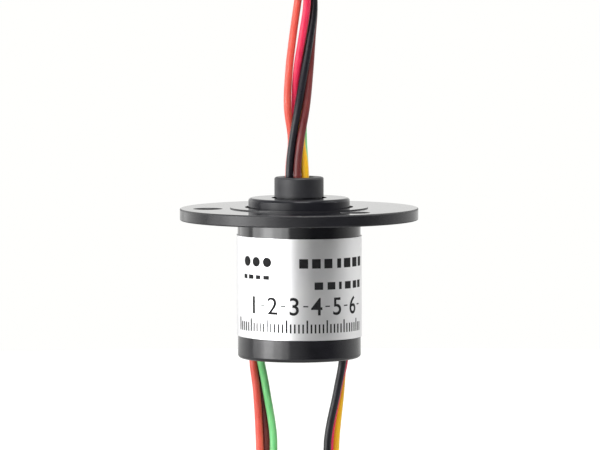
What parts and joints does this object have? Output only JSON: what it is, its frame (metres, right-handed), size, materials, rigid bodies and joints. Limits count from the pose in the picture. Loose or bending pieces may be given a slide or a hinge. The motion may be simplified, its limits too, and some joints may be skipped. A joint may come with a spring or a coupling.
{
  "type": "slip ring",
  "caption": "Miniature capsule slip ring: a rotor on ball bearings in a flanged round housing, with contact rings, wire brushes and bundled leads at each end.",
  "frame": {"origin": "on the rotor axis, in the plane of the flange underside that seats on the panel", "axes": "+Z along the rotor axis toward the rotor collar, +X to the right and -Y to the front as seen with the label in front"},
  "size_m": [0.0242, 0.0242, 0.1418],
  "materials": {
    "black_plastic": "semi-gloss moulded black",
    "rotor_plastic": "semi-gloss moulded black",
    "label_foil": "satin silver foil",
    "bearing_steel": "ground bearing steel",
    "cage_brass": "pressed brass",
    "contact_gold": "gold plated",
    "board_laminate": "green circuit laminate",
    "barrier_plastic": "moulded natural nylon",
    "tie_nylon": "natural nylon",
    "lead_orange": "orange insulation",
    "lead_red": "red insulation",
    "lead_black": "black insulation",
    "lead_brown": "brown insulation",
    "lead_yellow": "yellow insulation",
    "lead_green": "green insulation"
  },
  "bodies": {
    "stator": {"housing": "black_plastic", "front_cap": "black_plastic", "rear_cap": "black_plastic", "label_sleeve": "label_foil", "front_bearing_outer_race": "bearing_steel", "rear_bearing_outer_race": "bearing_steel", "brush_board_left": "board_laminate", "brush_board_right": "board_laminate", "brush_1": "contact_gold", "brush_2": "contact_gold", "brush_3": "contact_gold", "brush_4": "contact_gold", "brush_5": "contact_gold", "brush_6": "contact_gold", "stator_lead_orange": "lead_orange", "stator_lead_green": "lead_green", "stator_lead_brown": "lead_brown", "stator_lead_black": "lead_black", "stator_lead_red": "lead_red", "stator_lead_yellow": "lead_yellow", "stator_lead_hank": "lead_black", "stator_lead_tie": "tie_nylon"},
    "front_cage": {"front_bearing_balls": "bearing_steel", "front_bearing_cage": "cage_brass"},
    "rear_cage": {"rear_bearing_balls": "bearing_steel", "rear_bearing_cage": "cage_brass"},
    "rotor": {"rotor_shaft": "rotor_plastic", "retaining_clip": "bearing_steel", "front_bearing_inner_race": "bearing_steel", "rear_bearing_inner_race": "bearing_steel", "contact_ring_1": "contact_gold", "contact_ring_2": "contact_gold", "contact_ring_3": "contact_gold", "contact_ring_4": "contact_gold", "contact_ring_5": "contact_gold", "contact_ring_6": "contact_gold", "barrier_1": "barrier_plastic", "barrier_2": "barrier_plastic", "barrier_3": "barrier_plastic", "barrier_4": "barrier_plastic", "barrier_5": "barrier_plastic", "barrier_6": "barrier_plastic", "barrier_7": "barrier_plastic", "rotor_lead_orange": "lead_orange", "rotor_lead_red": "lead_red", "rotor_lead_black": "lead_black", "rotor_lead_brown": "lead_brown", "rotor_lead_yellow": "lead_yellow", "rotor_lead_green": "lead_green", "rotor_lead_hank": "lead_black", "rotor_lead_tie": "tie_nylon"}
  },
  "joints": [
    {"name": "rotor_spin", "type": "hinge", "parent": "stator", "child": "rotor", "pos_m": [0, 0, 0], "axis": [0, 0, 1], "continuous": true},
    {"name": "front_cage_orbit", "type": "hinge", "parent": "stator", "child": "front_cage", "pos_m": [0, 0, 0], "axis": [0, 0, 1], "continuous": true},
    {"name": "rear_cage_orbit", "type": "hinge", "parent": "stator", "child": "rear_cage", "pos_m": [0, 0, -0.011], "axis": [0, 0, 1], "continuous": true}
  ],
  "couplings": [
    {"joint": "front_cage_orbit", "follows": "rotor_spin", "ratio": 0.423},
    {"joint": "rear_cage_orbit", "follows": "rotor_spin", "ratio": 0.423}
  ]
}
